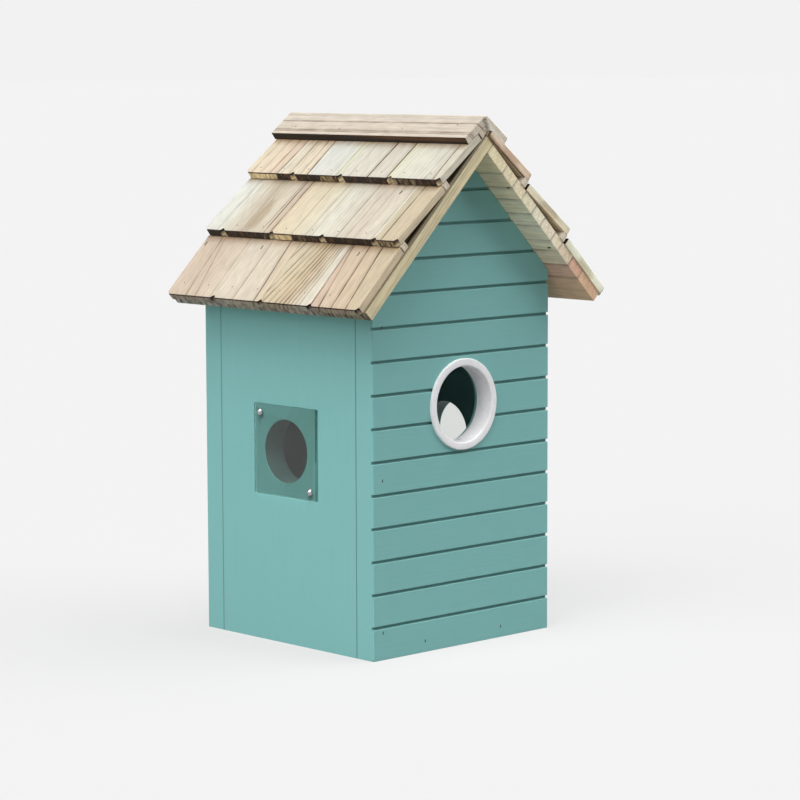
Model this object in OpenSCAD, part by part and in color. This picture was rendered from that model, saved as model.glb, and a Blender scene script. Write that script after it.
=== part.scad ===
// Nest box: a grooved gable-fronted body with a ringed entrance, two glazed side
// windows and a shingled roof. Millimetres, +Z up, front towards -Y.
// The origin is the middle of the body's underside.

/* [Body] */
// width across the front wall
body_w = 241; // [180:1:320]
// depth from front face to back face
body_d = 246; // [180:1:320]
// height of the side walls at their outer face
wall_h = 364; // [320:1:460]
// thickness of all four walls
wall_t = 24; // [16:1:30]
// thickness of the floor board
floor_t = 18; // [10:1:24]

/* [Front grooves] */
// spacing of the grooves up the front wall
groove_pitch = 32; // [24:1:44]
// height of one groove
groove_h = 3; // [1.5:0.1:5]
// depth of one groove
groove_d = 2.6; // [1:0.1:5]

/* [Entrance] */
// clear diameter of the entrance
entrance_d = 75; // [32:1:90]
// height of the entrance centre
entrance_z = 239; // [180:1:250]
// wall thickness of the lining tube
tube_t = 2.5; // [1.5:0.1:4]
// length of the lining tube behind the flange
tube_l = 18; // [8:1:22]
// width of the flange outside the tube
flange_w = 5; // [3:0.5:12]
// thickness of the flange
flange_t = 2.5; // [1.5:0.1:5]
// bevel on the rim edges of the ring
rim_bevel = 0.8; // [0.2:0.1:1.2]

/* [Side windows] */
// diameter of the window holes
window_d = 63; // [40:1:76]
// height of the window centres
window_z = 192; // [150:1:240]
// width of the square clear plates
plate_w = 90; // [86:1:110]
// thickness of the plates
plate_t = 4; // [2:0.5:8]
// distance of the screws from the plate edges
screw_inset = 8.6; // [6:0.1:10]
// diameter of the screw heads
screw_head_d = 7.4; // [6:0.1:9]
// height of the screw heads
screw_head_h = 2.4; // [1.6:0.1:3]
// diameter of the screw shanks
screw_d = 3.5; // [2.5:0.1:4.5]
// length of a screw in the wall
screw_l = 13; // [8:1:15]

/* [Roof boards] */
// thickness of the roof panels
panel_t = 11; // [8:0.5:16]
// reach of the roof past the side walls
side_overhang = 31.5; // [15:0.5:60]
// reach of the roof past the front wall
front_overhang = 33; // [10:1:60]
// reach of the roof past the back wall
back_overhang = 5; // [2:1:60]
// width of the lowest board of the right slope
eave_board_w = 35; // [20:1:60]

/* [Shingles] */
// thickness of a shingle
shingle_t = 7.5; // [5:0.1:10]
// width of a shingle in the top and bottom courses
shingle_w = 70.5; // [50:0.5:100]
// width of a shingle in the middle course
middle_w = 73.5; // [50:0.5:100]
// width of the cut piece at the back of the middle course
cut_w = 27.5; // [20:0.5:45]
// open joint between two shingles
joint_gap = 0.5; // [0.3:0.1:2]
// cut across the lower corners of a shingle
corner_cut = 4; // [1:0.5:8]
// reach of the bottom course past the eave
eave_lip = 4.5; // [2:0.5:15]
// height of the battens that lift the upper courses
batten_h = 7.7; // [6.6:0.1:10]
// width of the battens along the slope
batten_w = 7; // [5:0.5:10]
// distance of a batten behind the butt above it
batten_back = 2; // [1:0.5:6]

// set back of the left courses from the front edge of the roof
left_setback = 3.5; // [0:0.5:10]
// reach of the right courses past the front edge of the roof
right_lead = 1.5; // [0:0.5:10]
// set back of the courses from the back edge of the roof
back_setback = 2; // [0:0.5:8]

/* [Ridge] */
// thickness of the two ridge cap boards
cap_t = 8.4; // [5:0.1:10]
// width of the left cap board
cap_w = 31; // [28:0.5:36]
// reach of the left cap board down the top course
left_cap_reach = 16; // [10:0.5:20]
// reach of the right cap board down the top course
right_cap_reach = 23.5; // [16:0.5:28]
// reach of the right cap board past the left one at the front
cap_lead = 3; // [0:0.5:6]
// height planed off the crest of the right cap board
crest_trim = 0.4; // [0.2:0.1:1.2]
// reach of the ridge strip down the left panel
strip_reach = 3.3; // [1:0.1:4.5]

/* [Hidden] */
$fn = 96;
pitch = 45;
k = sin(pitch);
eps = 1;
front_y = -body_d / 2;
back_y = body_d / 2;
gable_z = wall_h + body_w / 2;
apex_z = gable_z + panel_t / k;
roof_end = panel_t + (body_w / 2 + side_overhang) / k;
roof_front = front_y - front_overhang;
roof_back = back_y + back_overhang;
groove_n = floor((gable_z - 20) / groove_pitch);
inner_w = body_w - 2 * wall_t;
inner_d = body_d - 2 * wall_t;
tube_d = entrance_d + 2 * tube_t;
flange_d = tube_d + 2 * flange_w;
screw_off = plate_w / 2 - screw_inset;

// courses: the butts share the slope evenly above the lip at the eave
course_n = 3;
ridge_trim = 4;
exposure = (roof_end + eave_lip + ridge_trim) / course_n;
top_butt = exposure - ridge_trim;
middle_butt = top_butt + exposure;
bottom_butt = roof_end + eave_lip;
upper_batten = top_butt - batten_back - batten_w;
lower_batten = middle_butt - batten_back - batten_w;
least_piece = 12;

// the left courses stand back from the front edge, the right ones stand out
left_front = roof_front + left_setback;
right_front = roof_front - right_lead;
course_back = roof_back - back_setback;
left_start = 5.4;
right_start = 1;
left_gap = 1;
right_gap = 3;

wood_pale = [0.87, 0.81, 0.68];
wood_tan = [0.80, 0.68, 0.52];
paint = [0.42, 0.63, 0.60];
white = [0.93, 0.93, 0.91];
clear = [0.72, 0.80, 0.77];
steel = [0.66, 0.67, 0.68];

// lift of a shingle that starts at x and leans on a batten
function lean(x, batten_x) = atan(batten_h / (batten_x - x));
// point u along and v above a leaning shingle that starts at x
function lifted(x, a, u, v) = [x + u * cos(a) - v * sin(a), u * sin(a) + v * cos(a)];
// slope points turned into the upright plane across the roof
function on_right(p) = [(p[0] + p[1]) * k, apex_z + (p[1] - p[0]) * k];
function on_left(p) = [-(p[0] + p[1]) * k, apex_z + (p[1] - p[0]) * k];
// height of the line through p and q at x
function line_z(p, q, x) = p[1] + (q[1] - p[1]) * (x - p[0]) / (q[0] - p[0]);
function steep(p, q) = (q[1] - p[1]) / (q[0] - p[0]);
// point of the line through p and q at height z
function at_height(p, q, z) = [p[0] + (z - p[1]) / steep(p, q), z];
// height above the slope of the face on top of the leaning shingles at s
function top_face(s, x, a) = (s - x) * tan(a) + shingle_t / cos(a);
function meet_x(p, q, r, s) = (line_z(r, s, 0) - line_z(p, q, 0)) / (steep(p, q) - steep(r, s));

left_lean = lean(left_start, upper_batten);
right_lean = lean(right_start, upper_batten);
cap_top = shingle_t + cap_t;
cap_up = left_cap_reach - cap_w;
left_low = on_left(lifted(left_start, left_lean, left_cap_reach, shingle_t));
left_low_top = on_left(lifted(left_start, left_lean, left_cap_reach, cap_top));
left_end = on_left(lifted(left_start, left_lean, cap_up, shingle_t));
left_end_top = on_left(lifted(left_start, left_lean, cap_up, cap_top));
right_low = on_right(lifted(right_start, right_lean, right_cap_reach, shingle_t));
right_low_top = on_right(lifted(right_start, right_lean, right_cap_reach, cap_top));
right_heel = on_right(lifted(right_start, right_lean, 0, shingle_t));
right_heel_top = on_right(lifted(right_start, right_lean, 0, cap_top));
crest_x = meet_x(left_low_top, left_end_top, right_low_top, right_heel_top);
crest_z = line_z(left_low_top, left_end_top, crest_x) - crest_trim;
crest_left = at_height(left_low_top, left_end_top, crest_z);
crest_right = at_height(right_low_top, right_heel_top, crest_z);

// frame on the right slope: x runs down it, z points out of it
module right_slope() {
    translate([0, 0, apex_z])
        rotate([0, pitch, 0])
            children();
}

module left_slope() {
    mirror([1, 0, 0])
        right_slope()
            children();
}

// flat shape across the roof drawn out from y0 to y1
module along_y(y0, y1) {
    translate([0, y1, 0])
        rotate([90, 0, 0])
            linear_extrude(y1 - y0)
                children();
}

module gable_outline() {
    polygon([
        [-body_w / 2, 0],
        [body_w / 2, 0],
        [body_w / 2, wall_h],
        [0, gable_z],
        [-body_w / 2, wall_h]
    ]);
}

module front_grooves() {
    for (i = [1:groove_n])
        translate([-body_w, front_y - eps, i * groove_pitch - groove_h / 2])
            cube([2 * body_w, groove_d + eps, groove_h]);
}

module front_wall() {
    color(paint)
        difference() {
            along_y(front_y, front_y + wall_t)
                gable_outline();
            front_grooves();
            translate([0, front_y - eps, entrance_z])
                rotate([-90, 0, 0])
                    cylinder(d = tube_d, h = wall_t + 2 * eps);
        }
}

module back_wall() {
    color(paint)
        along_y(back_y - wall_t, back_y)
            gable_outline();
}

// the two window screws sit at opposite corners of the plate
module at_upper_screw() {
    translate([body_w / 2, screw_off, window_z + screw_off])
        rotate([0, 90, 0])
            children();
}

module at_lower_screw() {
    translate([body_w / 2, -screw_off, window_z - screw_off])
        rotate([0, 90, 0])
            children();
}

module side_wall() {
    difference() {
        along_y(front_y + wall_t, back_y - wall_t)
            polygon([
                [body_w / 2 - wall_t, 0],
                [body_w / 2, 0],
                [body_w / 2, wall_h],
                [body_w / 2 - wall_t, wall_h + wall_t]
            ]);
        translate([body_w / 2 - wall_t - eps, 0, window_z])
            rotate([0, 90, 0])
                cylinder(d = window_d, h = wall_t + 2 * eps);
        at_upper_screw()
            translate([0, 0, -screw_l])
                cylinder(d = screw_d, h = screw_l + eps);
        at_lower_screw()
            translate([0, 0, -screw_l])
                cylinder(d = screw_d, h = screw_l + eps);
    }
}

module left_side_wall() {
    color(paint)
        mirror([1, 0, 0])
            side_wall();
}

module right_side_wall() {
    color(paint)
        side_wall();
}

module floor_board() {
    color(wood_pale)
        translate([-inner_w / 2, -inner_d / 2, 0])
            cube([inner_w, inner_d, floor_t]);
}

// flanged lining tube of the entrance, turned about its own axis
module entrance_ring() {
    color(white)
        translate([0, front_y, entrance_z])
            rotate([90, 0, 0])
                rotate_extrude()
                    polygon([
                        [entrance_d / 2, -tube_l],
                        [tube_d / 2, -tube_l],
                        [tube_d / 2, 0],
                        [flange_d / 2, 0],
                        [flange_d / 2, flange_t - rim_bevel],
                        [flange_d / 2 - rim_bevel, flange_t],
                        [entrance_d / 2 + rim_bevel, flange_t],
                        [entrance_d / 2, flange_t - rim_bevel]
                    ]);
}

module window_plate() {
    difference() {
        translate([body_w / 2, -plate_w / 2, window_z - plate_w / 2])
            cube([plate_t, plate_w, plate_w]);
        at_upper_screw()
            translate([0, 0, -eps])
                cylinder(d = screw_d, h = plate_t + 2 * eps);
        at_lower_screw()
            translate([0, 0, -eps])
                cylinder(d = screw_d, h = plate_t + 2 * eps);
    }
}

module left_window_plate() {
    color(clear)
        mirror([1, 0, 0])
            window_plate();
}

module right_window_plate() {
    color(clear)
        window_plate();
}

// round-headed screw with a cross slot, its shank reaching into the wall
module screw() {
    dome_r = (pow(screw_head_d / 2, 2) + pow(screw_head_h, 2)) / (2 * screw_head_h);
    slot_l = 0.56 * screw_head_d;
    slot_w = 0.14 * screw_head_d;
    difference() {
        union() {
            translate([0, 0, -screw_l])
                cylinder(d = screw_d, h = screw_l + plate_t + screw_head_h / 4);
            translate([0, 0, plate_t])
                intersection() {
                    translate([0, 0, screw_head_h - dome_r])
                        sphere(r = dome_r);
                    cylinder(d = screw_head_d, h = screw_head_h + eps);
                }
        }
        translate([-slot_l / 2, -slot_w / 2, plate_t + screw_head_h / 2])
            cube([slot_l, slot_w, screw_head_h]);
        translate([-slot_w / 2, -slot_l / 2, plate_t + screw_head_h / 2])
            cube([slot_w, slot_l, screw_head_h]);
    }
}

module left_window_upper_screw() {
    color(steel)
        mirror([1, 0, 0])
            at_upper_screw()
                screw();
}

module left_window_lower_screw() {
    color(steel)
        mirror([1, 0, 0])
            at_lower_screw()
                screw();
}

module right_window_upper_screw() {
    color(steel)
        at_upper_screw()
            screw();
}

module right_window_lower_screw() {
    color(steel)
        at_lower_screw()
            screw();
}

// board lying on a slope from x0 to x1
module slope_board(x0, x1, y0, y1, z0, z1) {
    translate([x0, y0, z0])
        cube([x1 - x0, y1 - y0, z1 - z0]);
}

// the left panel runs over the upper end of the right one
module left_roof_panel() {
    color(wood_pale)
        left_slope()
            slope_board(0, roof_end, roof_front, roof_back, -panel_t, 0);
}

module right_roof_panel() {
    color(wood_pale)
        right_slope()
            slope_board(panel_t, roof_end - eave_board_w, roof_front, roof_back, -panel_t, 0);
}

module right_eave_board() {
    color(wood_tan)
        right_slope()
            slope_board(roof_end - eave_board_w, roof_end, roof_front, roof_back, -panel_t, 0);
}

module batten(x, y0, y1) {
    slope_board(x, x + batten_w, y0, y1, 0, batten_h);
}

module left_lower_batten() {
    color(wood_pale)
        left_slope()
            batten(lower_batten, left_front, course_back);
}

module left_upper_batten() {
    color(wood_pale)
        left_slope()
            batten(upper_batten, left_front, course_back);
}

module right_lower_batten() {
    color(wood_pale)
        right_slope()
            batten(lower_batten, right_front, course_back);
}

module right_upper_batten() {
    color(wood_pale)
        right_slope()
            batten(upper_batten, right_front, course_back);
}

// one shingle of length l between y0 and y1, its lower corners cut off
module shingle(l, y0, y1) {
    linear_extrude(shingle_t)
        polygon([
            [0, y0],
            [l - corner_cut, y0],
            [l, y0 + corner_cut],
            [l, y1 - corner_cut],
            [l - corner_cut, y1],
            [0, y1]
        ]);
}

// a course laid from the back: an optional cut piece, whole shingles, a closing piece
module course(x0, x1, a, y0, y1, w, first) {
    l = (x1 - x0) / cos(a);
    whole = floor((y1 - y0 - first - least_piece) / w);
    g = joint_gap / 2;
    translate([x0, 0, 0])
        rotate([0, -a, 0]) {
            if (first > 0)
                shingle(l, y1 - first + g, y1);
            for (i = [0:whole - 1])
                shingle(l, y1 - first - (i + 1) * w + g, y1 - first - i * w - (first + i > 0 ? g : 0));
            shingle(l, y0, y1 - first - whole * w - g);
        }
}

module bottom_course(gap, y0, y1) {
    x0 = lower_batten + batten_w + gap;
    course(x0, bottom_butt, 0, y0, y1, shingle_w, 0);
}

module middle_course(gap, y0, y1) {
    x0 = upper_batten + batten_w + gap;
    course(x0, middle_butt, lean(x0, lower_batten), y0, y1, middle_w, cut_w);
}

module top_course(x0, y0, y1) {
    course(x0, top_butt, lean(x0, upper_batten), y0, y1, shingle_w, 0);
}

module left_bottom_course() {
    color(wood_tan)
        left_slope()
            bottom_course(left_gap, left_front, course_back);
}

module left_middle_course() {
    color(wood_pale)
        left_slope()
            middle_course(left_gap, left_front, course_back);
}

module left_top_course() {
    color(wood_pale)
        left_slope()
            top_course(left_start, left_front, course_back);
}

module right_bottom_course() {
    color(wood_pale)
        right_slope()
            bottom_course(right_gap, right_front, course_back);
}

module right_middle_course() {
    color(wood_pale)
        right_slope()
            middle_course(right_gap, right_front, course_back);
}

module right_top_course() {
    color(wood_tan)
        right_slope()
            top_course(right_start, right_front, course_back);
}

// strip that fills the ridge under the left cap board, down to the left panel
module ridge_strip() {
    color(wood_pale)
        along_y(left_front, course_back)
            polygon([
                on_left([0, 0]),
                on_left([strip_reach, 0]),
                on_left([strip_reach, top_face(strip_reach, left_start, left_lean)]),
                left_end,
                right_heel
            ]);
}

module left_cap_board() {
    color(wood_pale)
        along_y(left_front, roof_back)
            polygon([left_low, left_end, left_end_top, left_low_top]);
}

// the right cap board is bevelled where it closes against the left one
module right_cap_board() {
    color(wood_pale)
        along_y(left_front - cap_lead, roof_back)
            polygon([
                right_low,
                right_low_top,
                crest_right,
                crest_left,
                left_end_top,
                left_end,
                right_heel
            ]);
}

front_wall();
back_wall();
left_side_wall();
right_side_wall();
floor_board();  // floor
entrance_ring();
left_window_plate();
right_window_plate();
left_window_upper_screw();
left_window_lower_screw();
right_window_upper_screw();
right_window_lower_screw();
left_roof_panel();
right_roof_panel();
right_eave_board();
left_lower_batten();
left_upper_batten();
right_lower_batten();
right_upper_batten();
left_bottom_course();
left_middle_course();
left_top_course();
right_bottom_course();
right_middle_course();
right_top_course();
ridge_strip();
left_cap_board();
right_cap_board();
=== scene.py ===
import math
import random

import bmesh
import bpy
from mathutils import Matrix, Vector, noise


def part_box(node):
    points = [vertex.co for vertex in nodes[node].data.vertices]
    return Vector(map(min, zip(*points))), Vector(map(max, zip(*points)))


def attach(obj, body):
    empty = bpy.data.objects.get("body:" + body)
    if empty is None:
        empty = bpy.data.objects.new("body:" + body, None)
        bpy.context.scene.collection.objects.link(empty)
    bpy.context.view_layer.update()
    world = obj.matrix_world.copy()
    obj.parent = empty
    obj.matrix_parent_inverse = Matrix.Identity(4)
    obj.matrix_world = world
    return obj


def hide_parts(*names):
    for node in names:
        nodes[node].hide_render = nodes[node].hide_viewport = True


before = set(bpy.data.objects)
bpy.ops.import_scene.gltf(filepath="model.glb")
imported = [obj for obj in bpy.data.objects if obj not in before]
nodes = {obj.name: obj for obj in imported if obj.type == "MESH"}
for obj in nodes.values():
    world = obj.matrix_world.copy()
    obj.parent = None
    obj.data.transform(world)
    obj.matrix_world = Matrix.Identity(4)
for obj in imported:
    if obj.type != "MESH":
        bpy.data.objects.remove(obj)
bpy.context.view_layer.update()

mm = 0.001
scene = bpy.context.scene
print("nest box: frame loaded,", len(nodes), "nodes")

camera = {
    "place": (-1.9725, -2.1020, 0.5747),
    "heading": -43.6450,  # degrees about the upright, 0 looks along +Y
    "dip": 6.7716,
    "roll": -0.1942,
    "lens": 129.62,
    "sensor": 36.0,
}
light = {
    # heading 0 stands in front of the box, minus is to its left
    "key": {"heading": -62.0, "height": 58.0, "strength": 1.78, "spread": 40.0},
    "right": {"heading": 50.0, "height": 50.0, "strength": 2.35, "spread": 60.0},
    "left": {"heading": -90.0, "height": 30.0, "strength": 1.40, "spread": 50.0},
    "lowLeft": {"heading": -75.0, "height": 8.0, "strength": 0.38, "spread": 60.0},
    "overhead": {"heading": 0.0, "height": 88.0, "strength": 0.50, "spread": 12.0},
}
backdrop = {"fill": 0.015, "seen": 0.888}  # what it gives to the box and shows to the camera


def srgb(red, green, blue):  # a colour as it is picked, turned into scene light
    def channel(c):
        c = c / 255
        return c / 12.92 if c <= 0.04045 else ((c + 0.055) / 1.055) ** 2.4
    return (channel(red), channel(green), channel(blue), 1.0)


def addObject(name, data):
    made = bpy.data.objects.new(name, data)
    scene.collection.objects.link(made)
    return made


def placeCamera():
    data = bpy.data.cameras.new("camera")
    data.lens = camera["lens"]
    data.sensor_width = camera["sensor"]
    data.clip_end = 200
    eye = addObject("camera", data)
    eye.matrix_world = (
        Matrix.Translation(camera["place"])
        @ Matrix.Rotation(math.radians(camera["heading"]), 4, "Z")
        @ Matrix.Rotation(math.radians(90 - camera["dip"]), 4, "X")
        @ Matrix.Rotation(math.radians(camera["roll"]), 4, "Z")
    )
    scene.camera = eye


def addSun(name, rig):
    data = bpy.data.lights.new(name, "SUN")
    data.energy = rig["strength"]
    data.angle = math.radians(rig["spread"])
    lamp = addObject(name, data)
    turn = math.radians(rig["heading"])
    rise = math.radians(rig["height"])
    towards = Vector((
        math.sin(turn) * math.cos(rise),
        -math.cos(turn) * math.cos(rise),
        math.sin(rise),
    ))
    lamp.matrix_world = towards.to_track_quat("Z", "Y").to_matrix().to_4x4()


def addNode(tree, kind, **settings):
    node = tree.nodes.new(kind)
    for key, value in settings.items():
        setattr(node, key, value)
    return node


def feed(tree, socket, value):  # a number, a colour or another node's output
    if isinstance(value, bpy.types.NodeSocket):
        tree.links.new(value, socket)
    else:
        socket.default_value = value


def calc(tree, operation, *values, clamp=False):
    node = addNode(tree, "ShaderNodeMath", operation=operation, use_clamp=clamp)
    for socket, value in zip(node.inputs, values):
        feed(tree, socket, value)
    return node.outputs[0]


def times(tree, first, second):
    return calc(tree, "MULTIPLY", first, second)


def moveVector(tree, operation, *values):
    node = addNode(tree, "ShaderNodeVectorMath", operation=operation)
    for socket, value in zip(node.inputs, values):
        feed(tree, socket, value)
    return node.outputs[0]


def blendColour(tree, mode, amount, under, over):
    node = addNode(tree, "ShaderNodeMix", data_type="RGBA", blend_type=mode)
    colours = [socket for socket in node.inputs if socket.type == "RGBA"]
    feed(tree, node.inputs[0], amount)
    feed(tree, colours[0], under)
    feed(tree, colours[1], over)
    return next(socket for socket in node.outputs if socket.type == "RGBA")


def shadeColour(tree, colour, shade):  # one number times all three channels
    tone = addNode(tree, "ShaderNodeCombineXYZ")
    for socket in tone.inputs:
        feed(tree, socket, shade)
    return blendColour(tree, "MULTIPLY", 1.0, colour, tone.outputs[0])


def remap(tree, value, fromLow, fromHigh, toLow, toHigh, smooth=False):
    node = addNode(tree, "ShaderNodeMapRange",
                   interpolation_type="SMOOTHSTEP" if smooth else "LINEAR")
    for socket, given in zip(node.inputs, (value, fromLow, fromHigh, toLow, toHigh)):
        feed(tree, socket, given)
    return node.outputs[0]


def vary(tree, pattern, span):  # a noise pattern's usual values spread over a span
    return remap(tree, pattern, 0.3, 0.7, *span)


def noiseAt(tree, vector, stretch, detail=2.0):  # stretch is the pattern's scale on each axis
    node = addNode(tree, "ShaderNodeTexNoise")
    feed(tree, node.inputs["Vector"], moveVector(tree, "MULTIPLY", vector, stretch))
    node.inputs["Scale"].default_value = 1.0
    node.inputs["Detail"].default_value = detail
    return node.outputs["Fac"]


def splitVector(tree, vector):
    node = addNode(tree, "ShaderNodeSeparateXYZ")
    feed(tree, node.inputs[0], vector)
    return node.outputs


def attribute(tree, name, output):
    node = addNode(tree, "ShaderNodeAttribute", attribute_name=name)
    return node.outputs[output]


def objectPlace(tree):
    return addNode(tree, "ShaderNodeTexCoord").outputs["Object"]


def seenDirectly(tree, mirrored=0.15):  # 1 for the camera and clear plastic, less for a mirror
    path = addNode(tree, "ShaderNodeLightPath")
    shiny = times(tree, path.outputs["Is Glossy Ray"], mirrored)
    either = calc(tree, "MAXIMUM", path.outputs["Is Camera Ray"], shiny)
    return calc(tree, "MAXIMUM", either, path.outputs["Is Transmission Ray"])


def newGroup(name, inputs, outputs):
    tree = bpy.data.node_groups.new(name, "ShaderNodeTree")
    kinds = {"vector": "NodeSocketVector", "value": "NodeSocketFloat", "colour": "NodeSocketColor"}
    for label, kind, value in inputs:
        socket = tree.interface.new_socket(label, in_out="INPUT", socket_type=kinds[kind])
        if value is not None:
            socket.default_value = value
    for label, kind in outputs:
        tree.interface.new_socket(label, in_out="OUTPUT", socket_type=kinds[kind])
    start = addNode(tree, "NodeGroupInput")
    end = addNode(tree, "NodeGroupOutput")
    return tree, start.outputs, end.inputs


def useGroup(tree, group, **values):
    node = addNode(tree, "ShaderNodeGroup", node_tree=group)
    for label, value in values.items():
        feed(tree, node.inputs[label], value)
    return node.outputs


def newMaterial(name):
    material = bpy.data.materials.new(name)
    material.use_nodes = True
    return material, material.node_tree, material.node_tree.nodes["Principled BSDF"]


def addBump(tree, shader, height, distance):
    bump = addNode(tree, "ShaderNodeBump")
    bump.inputs["Strength"].default_value = 1.0
    bump.inputs["Distance"].default_value = distance
    tree.links.new(height, bump.inputs["Height"])
    tree.links.new(bump.outputs["Normal"], shader.inputs["Normal"])


def makeFibreGroup():  # thin growth lines, fibres and pores of sawn wood, grain along Y
    tree, given, out = newGroup(
        "woodFibres",
        [("Place", "vector", None), ("Spacing", "value", 0.004), ("Wander", "value", 0.006)],
        [("Line", "value"), ("Fibre", "value"), ("Pore", "value")],
    )
    place = given["Place"]
    parts = splitVector(tree, place)
    # the growth rings stand askew in the board, so they slope across its ends
    across = calc(tree, "MULTIPLY_ADD", parts["Z"], 0.5, parts["X"])
    slow = noiseAt(tree, place, (22.0, 5.0, 22.0), 1.0)
    bend = times(tree, calc(tree, "SUBTRACT", slow, 0.5), given["Wander"])
    turns = calc(tree, "DIVIDE", calc(tree, "ADD", across, bend), given["Spacing"])
    feed(tree, out["Line"], calc(tree, "POWER", calc(tree, "FRACT", turns), 4.0))
    feed(tree, out["Fibre"], noiseAt(tree, place, (900.0, 14.0, 900.0), 2.0))
    pores = noiseAt(tree, place, (2400.0, 90.0, 2400.0), 1.0)
    feed(tree, out["Pore"], remap(tree, pores, 0.62, 0.72, 0.0, 1.0))
    return tree


def makeCloudGroup():  # slow cloudy change of tone, as on any sawn or painted board
    tree, given, out = newGroup(
        "slowClouds",
        [("Place", "vector", None), ("Amount", "value", 0.1)],
        [("Tone", "value"), ("Mask", "value")],
    )
    wide = noiseAt(tree, given["Place"], (26.0, 7.0, 26.0), 3.0)
    change = times(tree, calc(tree, "SUBTRACT", wide, 0.5), given["Amount"])
    feed(tree, out["Tone"], calc(tree, "ADD", change, 1.0))
    feed(tree, out["Mask"], remap(tree, wide, 0.48, 0.72, 0.0, 1.0, True))
    return tree


def makeKnotGroup():  # place is 0 in the middle of the knot and 1 long at its rim
    tree, given, out = newGroup(
        "knotMark",
        [("Place", "vector", None), ("Jitter", "vector", None)],
        [("Mask", "value"), ("Ring", "value")],
    )
    parts = splitVector(tree, given["Place"])
    flat = calc(tree, "SQRT", calc(tree, "ADD", times(tree, parts["X"], parts["X"]),
                                   times(tree, parts["Y"], parts["Y"])))
    shake = calc(tree, "SUBTRACT", noiseAt(tree, given["Jitter"], (160.0, 60.0, 160.0), 2.0), 0.5)
    far = calc(tree, "MULTIPLY_ADD", shake, 0.9, flat)
    feed(tree, out["Mask"], times(tree, parts["Z"], remap(tree, far, 0.55, 1.15, 1.0, 0.0, True)))
    ring = calc(tree, "FRACT", times(tree, far, 3.3))
    feed(tree, out["Ring"], calc(tree, "POWER", ring, 3.0))
    return tree


fibreGroup = makeFibreGroup()
cloudGroup = makeCloudGroup()
knotGroup = makeKnotGroup()

paint = {
    "colour": srgb(131, 190, 187),
    "deep": srgb(123, 182, 178),
    "roughness": (0.42, 0.54),
    "ior": 1.42,
    "clouds": (0.06, 0.22),  # change of tone, and share of the deep colour
    "brushed": (0.985, 1.015),  # shade from one brush mark to the next
    "peel": 620.0,
    "bump": 0.16,  # mm
    "along": (18.0, 260.0, 420.0),  # scale of the brush marks on boards that lie along X
    "upright": (420.0, 420.0, 18.0),
    "inside": 0.8,  # painted shade on the walls' inner faces, inside the box
    "bore": (0.22, 60.0),  # painted shade in the window bores, and half the width they lie in, mm
    "joint": (0.8, 0.5),  # mm, half width of the painted shade along the joint between two walls, and how dark it is
    "groovePitch": 32.0,  # mm, the grooves of the front wall
    "grooveHeight": 3.0,
    "grooveShade": 0.72,  # painted shade at the bottom of a groove
    "grooveDepths": (0.5, 1.6, 3.0, 3.4),  # mm behind the face, where that begins, is full and ends
    "margin": 0.2,  # mm beyond the inner faces of the side walls
    "boreStart": 0.7,  # mm behind their outer faces
}


def grooveMask(tree, place):  # 1 at the bottom of the front wall's grooves
    parts = splitVector(tree, place)
    pitch = paint["groovePitch"] * mm
    turns = calc(tree, "ADD", calc(tree, "DIVIDE", parts["Z"], pitch), 0.5)
    off = calc(tree, "ABSOLUTE", calc(tree, "SUBTRACT", calc(tree, "FRACT", turns), 0.5))
    half = paint["grooveHeight"] / paint["groovePitch"] / 2
    inLine = remap(tree, off, half, half * 1.35, 1.0, 0.0)
    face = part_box("front_wall")[0][1]
    begins, full, fades, ends = (face + depth * mm for depth in paint["grooveDepths"])
    sunk = remap(tree, parts["Y"], begins, full, 0.0, 1.0)
    shallow = remap(tree, parts["Y"], fades, ends, 1.0, 0.0)
    return times(tree, inLine, times(tree, sunk, shallow))


def withinMask(tree, place, width, depth):  # 1 where the place lies this near the middle
    parts = splitVector(tree, place)
    across = calc(tree, "LESS_THAN", calc(tree, "ABSOLUTE", parts["X"]), width)
    along = calc(tree, "LESS_THAN", calc(tree, "ABSOLUTE", parts["Y"]), depth)
    return times(tree, across, along)


def insideMask(tree, place):  # 1 inside the box
    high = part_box("left_side_wall")[1]
    margin = paint["margin"] * mm
    return withinMask(tree, place, abs(high[0]) + margin, high[1] + margin)


def boreMask(tree, place):  # 1 in the window bores, between the walls' two faces
    low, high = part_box("left_side_wall")
    inside = withinMask(tree, place, abs(high[0]) + paint["margin"] * mm, 1.0)
    within = withinMask(tree, place, abs(low[0]) - paint["boreStart"] * mm, paint["bore"][1] * mm)
    return calc(tree, "SUBTRACT", within, inside, clamp=True)


def jointMask(tree, place):  # 1 where the side walls meet the front and back walls
    depth = calc(tree, "ABSOLUTE", splitVector(tree, place)["Y"])
    off = calc(tree, "ABSOLUTE", calc(tree, "SUBTRACT", depth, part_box("left_side_wall")[1][1]))
    return remap(tree, off, paint["joint"][0] * 0.5 * mm, paint["joint"][0] * mm, 1.0, 0.0)


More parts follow.
